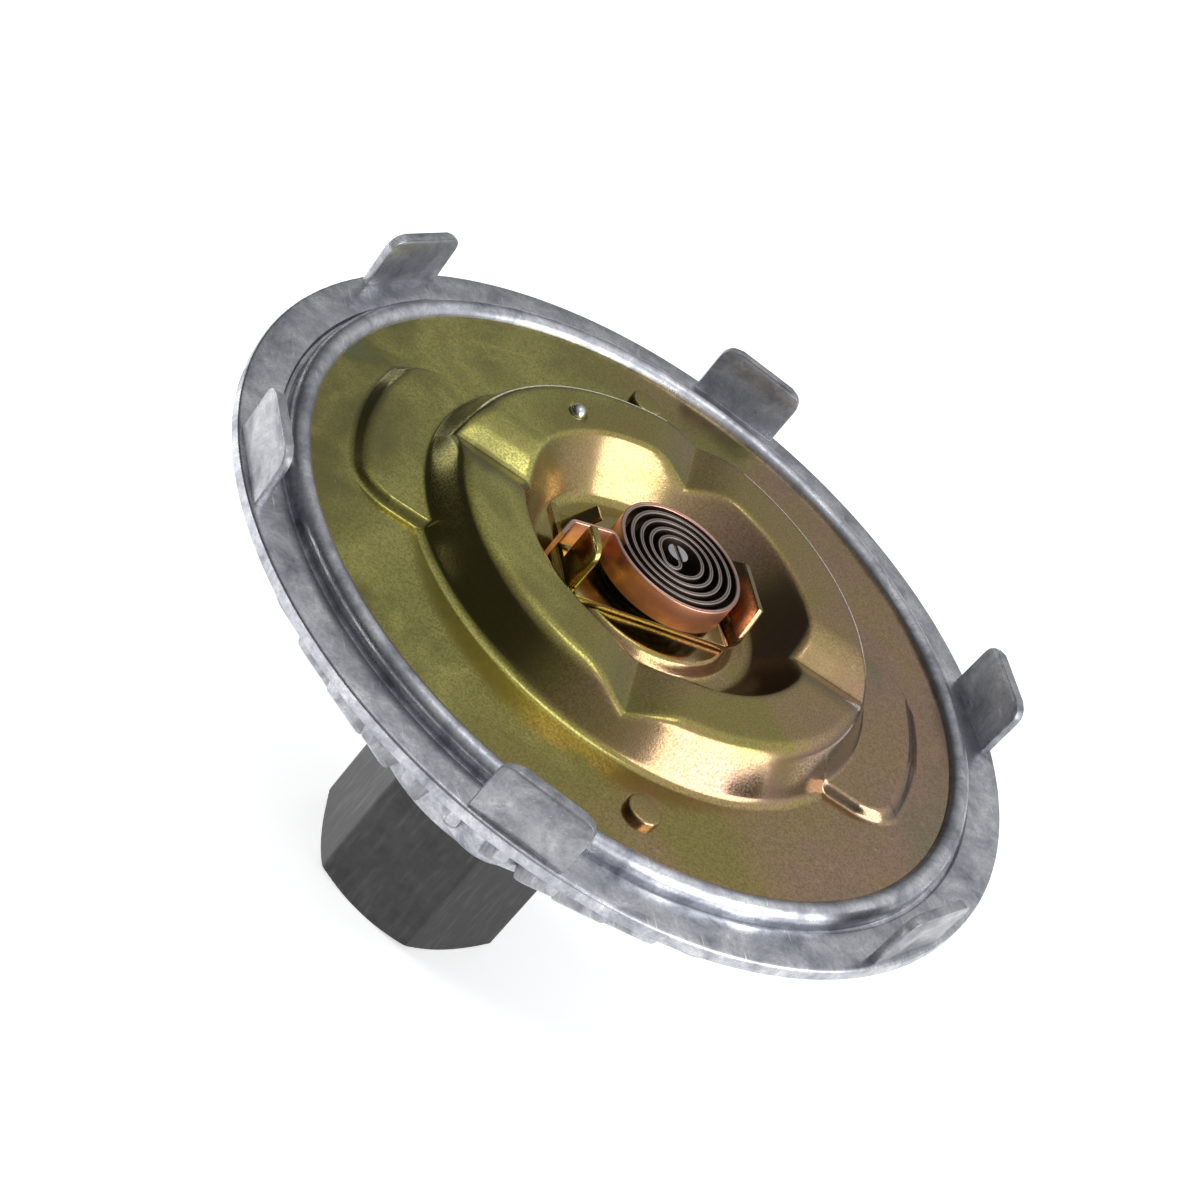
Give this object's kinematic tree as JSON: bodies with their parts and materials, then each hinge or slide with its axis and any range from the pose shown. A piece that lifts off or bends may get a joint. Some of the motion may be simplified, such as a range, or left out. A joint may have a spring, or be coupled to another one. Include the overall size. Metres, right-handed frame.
{
  "type": "fan clutch",
  "caption": "Viscous fan clutch: finned aluminium housing with bent edge tabs and a pressed cover, turning on a hexagon-ended shaft, with a bimetal coil valve.",
  "frame": {"origin": "centre of the hexagon's rear face, on which the part stands", "axes": "+Z along the shaft from the hexagon towards the cover and coil; Y along the coil's bracket"},
  "size_m": [0.157, 0.157, 0.0921],
  "materials": {
    "cast_aluminium": "cast and turned",
    "yellow_zinc": "yellow chromated zinc plate",
    "dark_steel": "dark phosphate coat",
    "bearing_steel": "ground",
    "spring_steel": "oiled black",
    "bright_steel": "bright zinc plate",
    "bimetal": "copper-red strip with grey edges",
    "bush_brass": "turned",
    "seal_rubber": "matt",
    "plastic": "moulded"
  },
  "bodies": {
    "shaft": {"drive_shaft": "dark_steel", "bearing_inner_ring": "bearing_steel", "rotor": "cast_aluminium", "rotor_hub": "bright_steel", "rotor_retaining_ring": "spring_steel"},
    "housing": {"housing": "cast_aluminium", "bearing_outer_ring": "bearing_steel", "bearing_seal_front": "seal_rubber", "bearing_seal_rear": "seal_rubber", "bearing_snap_ring": "spring_steel", "partition_plate": "bright_steel", "pump_wiper": "plastic", "front_cover": "yellow_zinc", "cover_seal": "seal_rubber", "fill_plug": "bright_steel", "valve_bush": "bush_brass", "valve_shaft_seal": "seal_rubber", "coil_bracket": "yellow_zinc", "bimetal_coil": "bimetal"},
    "ball_cage": {"bearing_balls": "bearing_steel", "bearing_cage": "plastic"},
    "valve": {"valve_arm": "bright_steel", "valve_shaft": "bright_steel"}
  },
  "joints": [
    {"name": "housing_spin", "type": "hinge", "parent": "shaft", "child": "housing", "pos_m": [0, 0, 0.0411], "axis": [0, 0, 1], "continuous": true},
    {"name": "cage_roll", "type": "hinge", "parent": "shaft", "child": "ball_cage", "pos_m": [0, 0, 0.0411], "axis": [0, 0, 1], "continuous": true},
    {"name": "valve_turn", "type": "hinge", "parent": "housing", "child": "valve", "pos_m": [0, 0, 0.0777], "axis": [0, 0, 1], "range_deg": [0, 35], "stiffness_Nm_per_rad": 0.02, "deforming": ["bimetal_coil"]}
  ],
  "couplings": [
    {"joint": "cage_roll", "follows": "housing_spin", "ratio": 0.58819}
  ]
}
